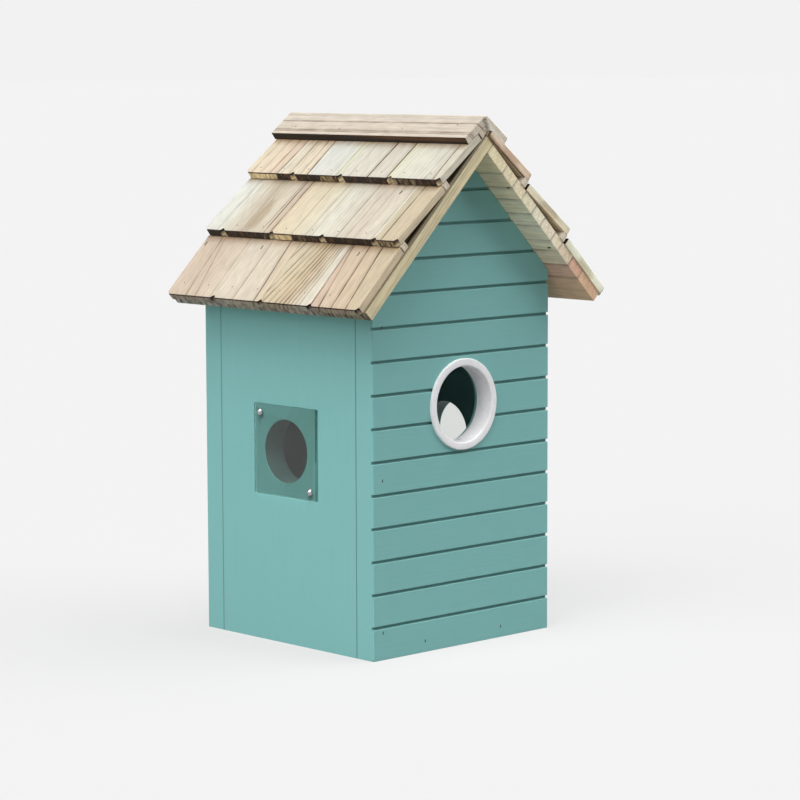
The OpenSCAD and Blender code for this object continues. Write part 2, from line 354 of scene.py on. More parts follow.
def makePaint(name, grain, grooved=False):  # grain is the brushing's scale along X, Y and Z
    material, tree, shader = newMaterial(name)
    shader.inputs["IOR"].default_value = paint["ior"]
    place = objectPlace(tree)
    change, share = paint["clouds"]
    cloud = useGroup(tree, cloudGroup, Place=place, Amount=change)
    brushed = noiseAt(tree, place, grain, 3.0)
    peel = noiseAt(tree, place, (paint["peel"],) * 3, 2.0)
    deepened = times(tree, cloud["Mask"], share)
    colour = blendColour(tree, "MIX", deepened, paint["colour"], paint["deep"])
    shade = times(tree, cloud["Tone"], vary(tree, brushed, paint["brushed"]))
    # painted shade: inner faces, window bores, wall joints and groove bottoms are darkened in the
    # colour
    marks = [(insideMask, paint["inside"]), (boreMask, paint["bore"][0]),
             (jointMask, paint["joint"][1])]
    if grooved:
        marks.append((grooveMask, paint["grooveShade"]))
    for mask, depth in marks:
        shade = times(tree, shade, remap(tree, mask(tree, place), 0.0, 1.0, 1.0, depth))
    feed(tree, shader.inputs["Base Color"], shadeColour(tree, colour, shade))
    feed(tree, shader.inputs["Roughness"], vary(tree, peel, paint["roughness"]))
    height = calc(tree, "ADD", times(tree, brushed, 0.7), times(tree, peel, 0.3))
    addBump(tree, shader, height, paint["bump"] * mm)
    return material


wood = {
    "season": (0.862, 0.855, 0.830),  # share of each picked colour left by time and weather
    "line": srgb(86, 60, 38),
    "strength": 1.7,
    # brown tint of the painted shadow under each lap
    "lapShadeColour": srgb(212, 186, 158),
    "stainedAndShaded": 11.0,  # mm, how far the painted shadow reaches down from under a lap
    "endGrain": srgb(38, 29, 22),
    "endStripe": srgb(86, 58, 36),
    "knot": srgb(196, 178, 156),
    "core": (0.5, 2.9),  # mm, where the dark core of a growth line begins and ends to fade
    "fade": 8.0,  # mm, over which its shade fades away from it
    "soft": 0.30,  # how dark that shade is beside the core
    "broken": (0.5, 1.1),  # a line is weaker and stronger by turns
    "clouds": 0.10,
    "streaks": (0.90, 1.07),
    "flecks": (0.90, 1.08),
    "knotDepth": (0.45, 0.12),  # of its stain and of its rings
    "lapShade": (0.5, 1.0),
    "endShare": (1.3, 1.5),  # of the board's end tone and of the bars in it
    "roughness": (0.6, 0.75),
    "ior": 1.42,
    "bump": 0.2,  # mm
    "fineLines": {"shingle": 0.13, "panel": 0.16},  # strength of the fine growth lines
}


def makeWood(name, fineLines):
    material, tree, shader = newMaterial(name)
    shader.inputs["IOR"].default_value = wood["ior"]
    place = attribute(tree, "grainPlace", "Vector")
    tint = attribute(tree, "boardTint", "Color")
    toLine, strength, endTone = splitVector(tree, attribute(tree, "boardFigure", "Vector"))
    fibre = useGroup(tree, fibreGroup, Place=place)
    cloud = useGroup(tree, cloudGroup, Place=place, Amount=wood["clouds"])
    knot = useGroup(tree, knotGroup, Place=attribute(tree, "knotPlace", "Vector"), Jitter=place)
    # a growth line has a dark core and a shade that fades to one side
    begin, end = wood["core"]
    core = remap(tree, toLine, begin * mm, end * mm, 1.0, 0.0)
    fade = remap(tree, toLine, 0.0, wood["fade"] * mm, 1.0, 0.0)
    soft = times(tree, calc(tree, "POWER", fade, 2.0), wood["soft"])
    broken = remap(tree, noiseAt(tree, place, (60.0, 40.0, 60.0), 2.0), 0.3, 0.6, *wood["broken"])
    dark = times(tree, calc(tree, "MAXIMUM", core, soft), times(tree, strength, broken))
    dark = calc(tree, "MULTIPLY", dark, wood["strength"], clamp=True)
    dark = calc(tree, "MAXIMUM", dark, times(tree, fibre["Line"], fineLines), clamp=True)
    colour = blendColour(tree, "MIX", dark, tint, wood["line"])
    stainedAndShaded, ringed = (times(tree, knot["Mask"], depth) for depth in wood["knotDepth"])
    colour = blendColour(tree, "MULTIPLY", stainedAndShaded, colour, wood["knot"])
    colour = blendColour(tree, "MIX", times(tree, ringed, knot["Ring"]), colour, wood["line"])
    streak = vary(tree, fibre["Fibre"], wood["streaks"])
    fleck = vary(tree, noiseAt(tree, place, (240.0, 60.0, 240.0), 2.0), wood["flecks"])
    colour = shadeColour(tree, colour, times(tree, times(tree, streak, fleck), cloud["Tone"]))
    # painted shadow: each uncovered face darkens towards a brown tint at its upper end, under the butt
    # that laps it, patchy along the board
    lap = remap(tree, attribute(tree, "lapPlace", "Fac"), 0.0, wood["stainedAndShaded"] * mm, 1.0, 0.0)
    patches = remap(tree, noiseAt(tree, place, (150.0, 60.0, 150.0), 3.0), 0.3, 0.6, *wood["lapShade"])
    lapShade = times(tree, calc(tree, "POWER", lap, 1.4), patches)
    colour = blendColour(tree, "MULTIPLY", lapShade, colour, wood["lapShadeColour"])
    # sawn ends are darker and show the rings as bars across the thickness
    bars = noiseAt(tree, place, (260.0, 0.0, 60.0), 2.0)
    isEnd = calc(tree, "GREATER_THAN", endTone, 0.02)
    plain, barred = wood["endShare"]
    swing = times(tree, calc(tree, "SUBTRACT", bars, 0.5), barred)
    endShare = times(tree, calc(tree, "MULTIPLY_ADD", endTone, plain, swing, clamp=True), isEnd)
    stripes = remap(tree, noiseAt(tree, place, (330.0, 3.0, 90.0), 1.0), 0.52, 0.66, 0.0, 1.0, True)
    ends = blendColour(tree, "MIX", stripes, wood["endGrain"], wood["endStripe"])
    colour = blendColour(tree, "MIX", endShare, colour, ends)
    feed(tree, shader.inputs["Base Color"], colour)
    feed(tree, shader.inputs["Roughness"], vary(tree, fibre["Fibre"], wood["roughness"]))
    rise = calc(tree, "SUBTRACT", fibre["Fibre"], times(tree, fibre["Pore"], 0.4))
    addBump(tree, shader, calc(tree, "SUBTRACT", rise, times(tree, core, 0.5)), wood["bump"] * mm)
    return material


plastic = {
    "colour": srgb(254, 254, 255),
    "worn": srgb(250, 250, 252),
    "coat": (0.2, 0.35),
    "roughness": (0.24, 0.32),
}


def makePlastic():
    material, tree, shader = newMaterial("ringPlastic")
    shader.inputs["Coat Roughness"].default_value = 0.08
    mould = noiseAt(tree, objectPlace(tree), (90.0, 90.0, 90.0), 2.0)
    feed(tree, shader.inputs["Base Color"],
         blendColour(tree, "MIX", mould, plastic["worn"], plastic["colour"]))
    feed(tree, shader.inputs["Coat Weight"], vary(tree, mould, plastic["coat"]))
    feed(tree, shader.inputs["Roughness"], vary(tree, mould, plastic["roughness"]))
    return material


sheet = {
    "colour": srgb(239, 242, 238),
    "hazy": srgb(236, 239, 235),
    "passed": (0.99, 1.0, 0.99, 1),  # share of the lamps' light that goes through
    "roughness": (0.02, 0.05),
}


def makeClear():  # clear sheet that lets the lamps through to what lies behind it
    material, tree, shader = newMaterial("clearSheet")
    shader.inputs["IOR"].default_value = 1.49
    shader.inputs["Transmission Weight"].default_value = 1.0
    haze = noiseAt(tree, objectPlace(tree), (60.0, 60.0, 60.0), 2.0)
    feed(tree, shader.inputs["Base Color"],
         blendColour(tree, "MIX", haze, sheet["hazy"], sheet["colour"]))
    feed(tree, shader.inputs["Roughness"], vary(tree, haze, sheet["roughness"]))
    through = addNode(tree, "ShaderNodeBsdfTransparent")
    through.inputs["Color"].default_value = sheet["passed"]
    path = addNode(tree, "ShaderNodeLightPath")
    pick = addNode(tree, "ShaderNodeMixShader")
    tree.links.new(path.outputs["Is Shadow Ray"], pick.inputs["Fac"])
    tree.links.new(shader.outputs[0], pick.inputs[1])
    tree.links.new(through.outputs[0], pick.inputs[2])
    tree.links.new(pick.outputs[0], tree.nodes["Material Output"].inputs["Surface"])
    return material


steels = {  # colour, spans of roughness and of metallic
    "screwSteel": (srgb(240, 241, 243), (0.20, 0.34), (1.0, 0.9)),
    "nailSteel": (srgb(92, 80, 68), (0.40, 0.60), (0.5, 0.45)),
}


def makeSteel(name):
    colour, roughness, metallic = steels[name]
    material, tree, shader = newMaterial(name)
    scuff = noiseAt(tree, objectPlace(tree), (1500.0, 1500.0, 1500.0), 3.0)
    dull = blendColour(tree, "MULTIPLY", 1.0, colour, srgb(205, 205, 205))
    feed(tree, shader.inputs["Base Color"], blendColour(tree, "MIX", scuff, dull, colour))
    feed(tree, shader.inputs["Metallic"], vary(tree, scuff, metallic))
    feed(tree, shader.inputs["Roughness"], vary(tree, scuff, roughness))
    return material


frontPaint = makePaint("frontPaint", paint["along"], grooved=True)
backPaint = makePaint("backPaint", paint["along"])
sidePaint = makePaint("sidePaint", paint["upright"])
shingleWood = makeWood("shingleWood", wood["fineLines"]["shingle"])
panelWood = makeWood("panelWood", wood["fineLines"]["panel"])
ringPlastic = makePlastic()
clearSheet = makeClear()
screwSteel = makeSteel("screwSteel")
nailSteel = makeSteel("nailSteel")
print("nest box: materials made")

joins = {
    "weld": 0.002,  # mm, how near two corners become one
    "cut": 0.001,  # the same for corners that a cut or a spin has made
    "flat": 0.6,  # degrees, up to which two triangles are one face
    "sharp": 30.0,  # degrees, from which an edge is eased
}


def copyNode(name):  # a node's mesh with its loose triangles joined into whole faces
    shape = bmesh.new()
    shape.from_mesh(nodes[name].data)
    bmesh.ops.remove_doubles(shape, verts=shape.verts, dist=joins["weld"] * mm)
    bmesh.ops.dissolve_limit(shape, angle_limit=math.radians(joins["flat"]),
                             verts=shape.verts, edges=shape.edges)
    return shape


def easeEdges(shape, width, wanted=None, segments=2):
    sharp = [e for e in shape.edges
             if len(e.link_faces) == 2 and e.calc_face_angle(0) > math.radians(joins["sharp"])
             and (wanted is None or wanted(e))]
    bmesh.ops.bevel(shape, geom=sharp, offset=width * mm, offset_type="OFFSET", segments=segments,
                    profile=0.5, affect="EDGES", clamp_overlap=True, material=-1)
    shape.normal_update()


def meshFrom(name, shape):
    mesh = bpy.data.meshes.new(name)
    shape.to_mesh(mesh)
    shape.free()
    return mesh


def finishPiece(name, shape, material, slotName, *replaced, smooth=20):
    mesh = meshFrom(name, shape)
    mesh.materials.append(material)
    mesh.shade_smooth()
    mesh.set_sharp_from_angle(angle=math.radians(smooth))
    piece = addObject(name, mesh)
    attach(piece, "root")
    if replaced:
        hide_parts(*replaced)


body = {
    "screwEdge": 0.12,  # mm
    "sharp": 35.0,  # degrees, from which an edge of a wall or screw is eased
    # coat of each wall and the rounding of its edges in mm, none beside a flush joint
    "walls": {"front_wall": (frontPaint, 0.45), "back_wall": (backPaint, 0.45),
              "left_side_wall": (sidePaint, None), "right_side_wall": (sidePaint, None)},
    "screws": ("left_window_upper_screw", "left_window_lower_screw",
               "right_window_upper_screw", "right_window_lower_screw"),
}


def dressNode(name, material, edge):  # a node that keeps its own shape
    node = nodes[name]
    node.data.materials.clear()
    node.data.materials.append(material)
    if not edge:
        return
    weld = node.modifiers.new("join", "WELD")
    weld.merge_threshold = joins["weld"] * mm
    flat = node.modifiers.new("wholeFaces", "DECIMATE")
    flat.decimate_type = "DISSOLVE"
    flat.angle_limit = math.radians(joins["flat"])
    eased = node.modifiers.new("easedEdges", "BEVEL")
    eased.width = edge * mm
    eased.segments = 2
    eased.limit_method = "ANGLE"
    eased.angle_limit = math.radians(body["sharp"])
    eased.profile = 0.5


for wall, (coat, edge) in body["walls"].items():
    dressNode(wall, coat, edge)
for screw in body["screws"]:
    dressNode(screw, screwSteel, body["screwEdge"])

ring = {"flange": 5.0, "wall": 2.5, "rounding": 1.1, "arc": 4, "steps": 128}  # mm, and counts


def makeRing():
    low, high = (Vector(c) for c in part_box("entrance_ring"))
    middle = (low + high) / 2
    outer = (high.x - low.x) / 2
    tube = outer - ring["flange"] * mm
    inner = tube - ring["wall"] * mm
    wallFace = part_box("front_wall")[0][1]
    shape = bmesh.new()
    outline = [(inner, high.y), (tube, high.y), (tube, wallFace), (outer, wallFace), (outer, low.y),
               (inner, low.y)]
    verts = [shape.verts.new((x, y, 0)) for x, y in outline]
    shape.faces.new(verts)
    rim = [v for v in verts if v.co.y < wallFace - mm]
    bmesh.ops.bevel(shape, geom=rim, offset=ring["rounding"] * mm, offset_type="OFFSET",
                    segments=ring["arc"], profile=0.5, affect="VERTICES", material=-1)
    bmesh.ops.spin(shape, geom=list(shape.edges), cent=(0, 0, 0), axis=(0, 1, 0), dvec=(0, 0, 0),
                   angle=math.tau, steps=ring["steps"], use_merge=True, use_duplicate=False)
    outlineFace = [f for f in shape.faces if len(f.verts) > 4]
    bmesh.ops.delete(shape, geom=outlineFace, context="FACES_ONLY")
    bmesh.ops.remove_doubles(shape, verts=shape.verts, dist=joins["cut"] * mm)
    bmesh.ops.recalc_face_normals(shape, faces=shape.faces)
    bmesh.ops.translate(shape, verts=shape.verts, vec=(middle.x, 0, middle.z))
    finishPiece("entranceLining", shape, ringPlastic, "white_plastic", "entrance_ring", smooth=40)


makeRing()

windowSheet = {"edge": 0.35, "boreEdge": 3.0}  # mm, the short edges of the bores stay sharp

for side in ("left", "right"):
    shape = copyNode(side + "_window_plate")
    easeEdges(shape, windowSheet["edge"], lambda e: e.calc_length() > windowSheet["boreEdge"] * mm)
    finishPiece(side + "WindowPlate", shape, clearSheet, "clear_plate", side + "_window_plate",
                smooth=1)
print("nest box: body dressed")

upright = Vector((0, 0, 1))
forward = Vector((0, -1, 0))
slopes = {  # direction up the slope, direction out of it
    "left": (Vector((1, 0, 1)).normalized(), Vector((-1, 0, 1)).normalized()),
    "right": (Vector((-1, 0, 1)).normalized(), Vector((1, 0, 1)).normalized()),
}
boards = {
    "cuts": 7,  # cross cuts along a board, where its growth lines bend
    "sway": 0.7,  # mm, the sideways bend of a growth line
    "waves": 26.0,  # bends of a growth line in a metre
    "waveStep": 3.7,  # so that no two lines of a board bend alike
    "snap": 0.02,  # mm, how near a cut takes the corners that are there
    "onLine": 0.05,  # mm, how near a growth line a corner bends with it
    "parted": 0.5,  # strength of a line from which on two tints stay apart
    "plainSides": 5.0,  # mm beside each long edge that stay straight
    "darkTone": 0.9,  # end grain tone of the chamfer along a butt, and painted shade high on a cut corner, in the notch between two shingles
    "goldSide": 2.5,  # mm below its face from where a cut corner has its own tone
    "gold": (255, 230, 178),  # pale gold tint on the upper butts, partly pale wood and partly a painted highlight on these dim faces
    "knotStretch": 3.2,  # length of a knot for its width
    "depthStep": 8.0,  # mm, boards nearer than this stand at one depth
}
plainBoard = {  # how a board looks where its own entry does not say
    "lean": 0.5,  # sideways run of a growth plane for each mm of depth
    "season": wood["season"],
    "frontLightLift": 1.09,  # painted light: faces that look forward get a paler tint
    "knot": (0.5, 0.5, 0.0),  # shares of the width and length, and size in mm
    "shown": 1000.0,  # mm from the low end up to the board that laps it
    "edgeSide": 1,  # 1 or -1, the long side that has the edge's tone
    "edgeTone": 0.0,  # shares of end grain colour
    "topShade": 0.0,
    "cornerTone": 0.0,
    "darkButt": False,
    "golden": False,
}


def reach(start):  # all corners and faces joined to one corner
    seen = {start}
    stack = [start]
    while stack:
        for edge in stack.pop().link_edges:
            for corner in edge.verts:
                if corner not in seen:
                    seen.add(corner)
                    stack.append(corner)
    faces = {face for corner in seen for face in corner.link_faces}
    edges = {edge for corner in seen for edge in corner.link_edges}
    return seen, edges, faces


def looseBoards(shape):  # a corner of each board, from the back forwards and from the top down
    left = set(shape.verts)
    found = []
    while left:
        start = min(left, key=lambda v: v.index)
        corners = reach(start)[0]
        left -= corners
        depth = round(sum(v.co.y for v in corners) / len(corners) / (boards["depthStep"] * mm))
        height = sum(v.co.z for v in corners) / len(corners)
        found.append((-depth, -height, start))
    return [start for depth, height, start in sorted(found, key=lambda item: item[:2])]


def boardFrame(faces, along, outward):
    # y lies along the grain, z out of the face, x across, and the origin at the low corner
    top = max((f for f in faces if f.normal.dot(outward) > 0.7), key=lambda f: f.calc_area())
    z = top.normal.copy()
    y = (along - z * along.dot(z)).normalized()
    x = y.cross(z)
    turn = Matrix((x, y, z)).transposed()
    corners = [turn.transposed() @ v.co for f in faces for v in f.verts]
    level = (turn.transposed() @ top.verts[0].co).z
    low = Vector((min(c.x for c in corners), min(c.y for c in corners), level))
    high = Vector((max(c.x for c in corners), max(c.y for c in corners), level))
    return Matrix.Translation(turn @ low) @ turn.to_4x4(), high - low


def lineAt(strip, size, lean, spot):  # where a strip's growth line lies beside a point
    far, near = strip[1:3]
    return size.x * (near + (far - near) * spot.y / size.y) + lean * spot.z


def tintAt(look, index, onLeft, lift):  # tints run into each other unless a strong line parts them
    strips = look["strips"]
    other = index - 1 if onLeft else index + 1
    between = min(index, other)  # the strip that ends at the line between the two
    if not 0 <= other < len(strips) or strips[between][3] >= boards["parted"]:
        other = index
    mixed = Vector(strips[index][0]).lerp(Vector(strips[other][0]), 0.5)
    return srgb(*(min(c * kept * lift, 255) for c, kept in zip(mixed, look["season"])))


def sliceBoard(shape, start, spot, normal):  # one cut through one board
    verts, edges, faces = reach(start)
    bmesh.ops.bisect_plane(shape, geom=[*verts, *edges, *faces], dist=boards["snap"] * mm,
                           plane_co=spot, plane_no=normal)


def cutStrips(shape, start, place, size, look):  # along its growth lines, which then bend
    turn = place.to_3x3()
    depth = turn @ Vector((look["lean"], 0, 1))
    for strip in look["strips"][:-1]:
        far, near = strip[1:3]
        run = turn @ Vector((size.x * (far - near), size.y, 0))
        sliceBoard(shape, start, place @ Vector((size.x * near, 0, 0)), run.cross(depth).normalized())
    for cut in range(1, boards["cuts"]):
        spot = place @ Vector((0, size.y * cut / boards["cuts"], 0))
        sliceBoard(shape, start, spot, turn @ Vector((0, 1, 0)))
    back = place.inverted()
    side = boards["plainSides"] * mm
    for corner in reach(start)[0]:
        spot = back @ corner.co
        if not side < spot.x < size.x - side:
            continue
        for number, strip in enumerate(look["strips"][:-1]):
            if abs(lineAt(strip, size, look["lean"], spot) - spot.x) < boards["onLine"] * mm:
                phase = look["seed"] + number * boards["waveStep"]
                wave = noise.noise(Vector((phase, spot.y * boards["waves"], 0.5)))
                corner.co += turn @ Vector((wave * boards["sway"] * mm, 0, 0))
                break


def toneOf(look, endTone, sideways, endways, outways):  # share of end grain colour on a face
    if endways > 0.3:
        chamfer = look["darkButt"] and endways < 0.9 and abs(sideways) <= 0.4
        return boards["darkTone"] if chamfer else endTone
    if sideways * look["edgeSide"] > 0.5:
        return look["edgeTone"]
    # painted shade: the rake board's top face, in the shadow of the shingles' front ends, takes end
    # grain colour
    return look["topShade"] if outways > 0.7 else 0.0


def markBoard(faces, place, size, look, layers):
    # writes where each corner lies in its board, and what the board looks like there
    lean, strips, seed = look["lean"], look["strips"], look["seed"]
    back = place.inverted()
    knotX, knotY, knotSize = look["knot"]
    knotWidth = knotSize * mm or 1
    knotLength = knotSize * mm * boards["knotStretch"] or 1
    for face in faces:
        middle = back @ face.calc_center_median()
        index = sum(lineAt(strip, size, lean, middle) < middle.x for strip in strips[:-1])
        line, endTone = strips[index][3:]
        sideways, endways, outways = back.to_3x3() @ face.normal
        endways = abs(endways)
        corner = endways > 0.3 and abs(sideways) > 0.4
        onTop = endways < 0.5 and abs(sideways) < 0.5
        # painted light: a face that looks forward gets a paler tint
        lift = look["frontLightLift"] if face.normal.dot(forward) > 0.7 else 1.0
        for loop in face.loops:
            spot = back @ loop.vert.co
            toLine = max(lineAt(strips[index], size, lean, spot) - spot.x, 0.0)
            before = lineAt(strips[index - 1], size, lean, spot) if index else 0.0
            deep = spot.z < -boards["goldSide"] * mm
            tone = toneOf(look, endTone, sideways, endways, outways)
            # painted shade high on a cut corner, in the notch between two shingles
            if corner:
                tone = look["cornerTone"] if deep else boards["darkTone"]
            tint = tintAt(look, index, spot.x - before < toLine, lift)
            # painted highlight: butts and the low part of cut corners get a pale gold tint, partly
            # pale wood
            if look["golden"] and (endways > 0.9 or corner and deep):
                tint = srgb(*boards["gold"])
            loop[layers["grainPlace"]] = spot + Vector((seed * 0.31, seed * 0.17, 0))
            loop[layers["boardTint"]] = tint
            loop[layers["boardFigure"]] = Vector((toLine, line, tone))
            loop[layers["lapPlace"]] = look["shown"] * mm - spot.y if onTop else 1.0
            loop[layers["knotPlace"]] = Vector(((spot.x - knotX * size.x) / knotWidth,
                                                (spot.y - knotY * size.y) / knotLength,
                                                1.0 if knotSize else 0.0))


def dressBoards(name, shape, along, outward, looks, edge, material, slotName, *replaced,
                buttEdge=None):
    frames = [boardFrame(reach(start)[2], along, outward) for start in looseBoards(shape)]
    if buttEdge:
        def topOfButt(e):
            down, up = sorted((f.normal for f in e.link_faces), key=outward.dot)
            return up.dot(outward) > 0.9 and down.dot(along) < -0.9
        easeEdges(shape, buttEdge, topOfButt, segments=1)
    easeEdges(shape, edge)
    vectors = shape.loops.layers.float_vector
    layers = {label: vectors.new(label) for label in ("grainPlace", "boardFigure", "knotPlace")}
    layers["boardTint"] = shape.loops.layers.float_color.new("boardTint")
    layers["lapPlace"] = shape.loops.layers.float.new("lapPlace")
    for number, start in enumerate(looseBoards(shape)):
        place, size = frames[number]
        look = {**plainBoard, **looks[number % len(looks)]}
        cutStrips(shape, start, place, size, look)
        shape.normal_update()
        markBoard(reach(start)[2], place, size, look, layers)
    finishPiece(name, shape, material, slotName, *replaced)
    return frames


# one entry for each shingle from the back forwards, its strips from its left side to its right
# strip: tint, growth line at the upper end and at the butt as shares of the width,
# darkness of that line, darkness of the sawn end
shingles = {
    "left_top_course": [
        {"seed": 3.1, "strips": [
            ((248, 234, 212), 0.15, 0.14, 0.30, 0.15), ((250, 238, 216), 0.34, 0.33, 0.28, 0.10),
            ((246, 226, 206), 0.56, 0.54, 0.45, 0.12), ((245, 224, 205), 0.74, 0.70, 0.60, 0.20),
            ((250, 243, 228), 0.85, 0.80, 0.20, 0.95), ((243, 232, 212), 0.94, 0.95, 0.50, 1.0),
            ((236, 224, 200), 1, 1, 0, 1.0)]},
        {"seed": 7.9, "strips": [
            ((248, 236, 218), 0.135, 0.19, 0.45, 1.0), ((246, 230, 208), 0.29, 0.33, 0.70, 1.0),
            ((241, 242, 238), 0.58, 0.60, 0.0, 0.9), ((240, 242, 240), 0.82, 0.82, 0.15, 0.6),
            ((240, 240, 232), 0.93, 0.93, 0.22, 0.7), ((238, 240, 215), 1, 1, 0, 0.9)]},
        {"seed": 12.4, "strips": [
            ((239, 236, 226), 0.19, 0.19, 0.15, 0.95), ((233, 229, 219), 0.585, 0.575, 0.85, 1.0),
            ((234, 229, 219), 0.965, 0.965, 0.80, 1.0), ((240, 240, 214), 1, 1, 0, 0.9)]},
        {"seed": 18.2, "strips": [
            ((242, 242, 222), 0.05, 0.05, 0.0, 0.1), ((242, 241, 231), 0.55, 0.55, 0.12, 0.7),
            ((240, 238, 228), 0.72, 0.73, 0.20, 1.0), ((228, 225, 214), 0.83, 0.90, 0.55, 1.0),
            ((233, 228, 214), 1, 1, 0, 1.0)]},
    ],
    "left_middle_course": [
        {"seed": 23.7, "strips": [
            ((246, 248, 244), 0.69, 0.69, 0.18, 1.0), ((244, 246, 238), 0.785, 0.785, 0.20, 1.0),
            ((244, 245, 236), 1, 1, 0, 1.0)]},
        {"seed": 29.3, "knot": (0.50, 0.30, 8.5), "strips": [
            ((241, 237, 226), 0.19, 0.20, 0.12, 1.0), ((220, 208, 190), 0.37, 0.40, 0.25, 1.0),
            ((214, 201, 182), 0.59, 0.58, 0.0, 1.0), ((239, 231, 217), 0.80, 0.79, 0.35, 1.0),
            ((233, 222, 205), 0.85, 0.86, 0.55, 1.0), ((228, 212, 194), 0.975, 0.985, 0.60, 0.8),
            ((238, 222, 198), 1, 1, 0, 0.5)]},
        {"seed": 34.8, "strips": [
            ((243, 229, 203), 0.42, 0.42, 0.30, 0.2), ((241, 233, 212), 0.70, 0.70, 0.25, 0.75),
            ((239, 236, 222), 0.83, 0.82, 0.25, 0.9), ((243, 241, 231), 1, 1, 0, 0.9)]},
        {"seed": 39.5, "strips": [
            ((241, 237, 226), 0.10, 0.10, 0.10, 0.95), ((236, 231, 220), 0.29, 0.295, 0.40, 1.0),
            ((234, 224, 211), 0.47, 0.47, 0.20, 1.0), ((234, 223, 209), 0.64, 0.64, 0.22, 1.0),
            ((233, 224, 211), 0.965, 0.965, 0.25, 0.9), ((247, 242, 228), 1, 1, 0, 0.7)]},
        {"seed": 44.1, "strips": [
            ((224, 214, 190), 0.32, 0.34, 0.60, 0.55), ((226, 211, 186), 1, 1, 0, 0.6)]},
    ],
    "left_bottom_course": [
        {"seed": 49.6, "strips": [
            ((236, 218, 202), 0.345, 0.43, 0.40, 0.32), ((220, 202, 182), 0.40, 0.64, 0.30, 0.32),
            ((239, 222, 207), 0.945, 0.95, 0.20, 0.32), ((240, 228, 212), 1, 1, 0, 0.32)]},
        {"seed": 54.2, "strips": [
            ((241, 231, 216), 0.42, 0.44, 0.35, 0.32), ((241, 229, 213), 0.80, 0.885, 0.55, 0.32),
            ((239, 223, 201), 1, 1, 0, 0.32)]},
        {"seed": 59.8, "strips": [
            ((238, 226, 202), 0.12, -0.25, 0.40, 0.32), ((239, 227, 203), 0.29, -0.04, 0.45, 0.32),
            ((236, 222, 194), 0.41, 0.06, 0.45, 0.32), ((235, 219, 190), 0.50, 0.20, 0.40, 0.32),
            ((234, 217, 189), 0.58, 0.32, 0.45, 0.32), ((231, 213, 184), 0.65, 0.42, 0.45, 0.32),
            ((229, 210, 181), 0.71, 0.50, 0.50, 0.32), ((232, 214, 187), 0.76, 0.58, 0.40, 0.32),
            ((236, 220, 197), 0.81, 0.66, 0.45, 0.32), ((241, 229, 208), 0.86, 0.74, 0.40, 0.32),
            ((244, 236, 219), 0.905, 0.82, 0.35, 0.32), ((246, 240, 227), 1, 1, 0, 0.32)]},
        {"seed": 64.3, "strips": [
            ((240, 226, 210), 0.03, 0.03, 0.50, 0.32), ((235, 212, 193), 0.07, 0.215, 0.55, 0.32),
            ((233, 213, 192), 0.41, 0.47, 0.60, 0.32), ((231, 211, 187), 0.665, 0.77, 0.65, 0.32),
            ((226, 210, 184), 1, 1, 0, 0.32)]},
    ],
}
frontEnds = {  # tint of the strip along the front edge of each right course
    "right_top_course": (236, 212, 190),
    "right_middle_course": (248, 238, 212),
    "right_bottom_course": (252, 248, 224),
}
palette = [(243, 236, 218), (238, 226, 204), (236, 217, 199), (232, 216, 190), (240, 238, 226),
           (229, 211, 184), (241, 229, 210)]
invented = {
    "first": (0.06, 0.14),  # share of the width where the first strip ends
    "width": (0.09, 0.26),
    "last": 0.82,  # share beyond which no strip begins
    "skew": 0.03,
    "lines": (0.15, 0.3, 0.55, 0.7),
    "ends": (0.7, 1.0),
    "lastEnd": 0.9,
}
dice = random.Random(7)


def inventLook(frontTint=None):  # a shingle like the others, for those that have no entry
    spots = [dice.uniform(*invented["first"])]
    while spots[-1] < invented["last"]:
        spots.append(spots[-1] + dice.uniform(*invented["width"]))
    base = dice.randrange(len(palette))
    strips = []
    for spot in spots:
        tint = palette[(base + dice.choice((0, 0, 1))) % len(palette)]
        skew = dice.uniform(-invented["skew"], invented["skew"])
        strips.append((tint, spot + skew, spot - skew, dice.choice(invented["lines"]),
                       dice.uniform(*invented["ends"])))
    strips.append((palette[base], 1, 1, 0, invented["lastEnd"]))
    if frontTint:
        strips[0] = (frontTint, *strips[0][1:])
    return {"seed": dice.uniform(0, 60), "strips": strips}


course = {
    "edge": 0.35,  # mm
    "buttEdge": 0.9,
    "shown": {"top": 53.5, "middle": 80.0, "bottom": 79.5},  # mm of each shingle left uncovered
    "cornerTone": {"top": 0.0, "middle": 0.0, "bottom": 0.4},  # low on the cut corners
    "frontKnot": (0.0, 0.5, 5.0),  # shares of the width and length, and size in mm
    "frontSeason": (0.97, 0.96, 0.94),
    "nailFromSide": 0.24,  # share of the width
    "nailJog": 2.0,  # mm to either side
    "narrow": 40.0,  # mm, a shingle narrower than this has no nail
    "nailUp": {"top": 9.0, "middle": 9.0, "bottom": 16.0},  # mm above the butt
    # which shingles show a staple, and where it sits as a share of their width
    "stapled": {"left_middle_course": {3: 0.77}, "left_bottom_course": {0: 0.07, 1: 0.28, 3: 0.27},
                "right_middle_course": {1: 0.3, 3: 0.72}, "right_bottom_course": {0: 0.25, 2: 0.7}},
    "stapleUp": 68.0,  # mm above the butt
}
nailPlaces = []
staplePlaces = []


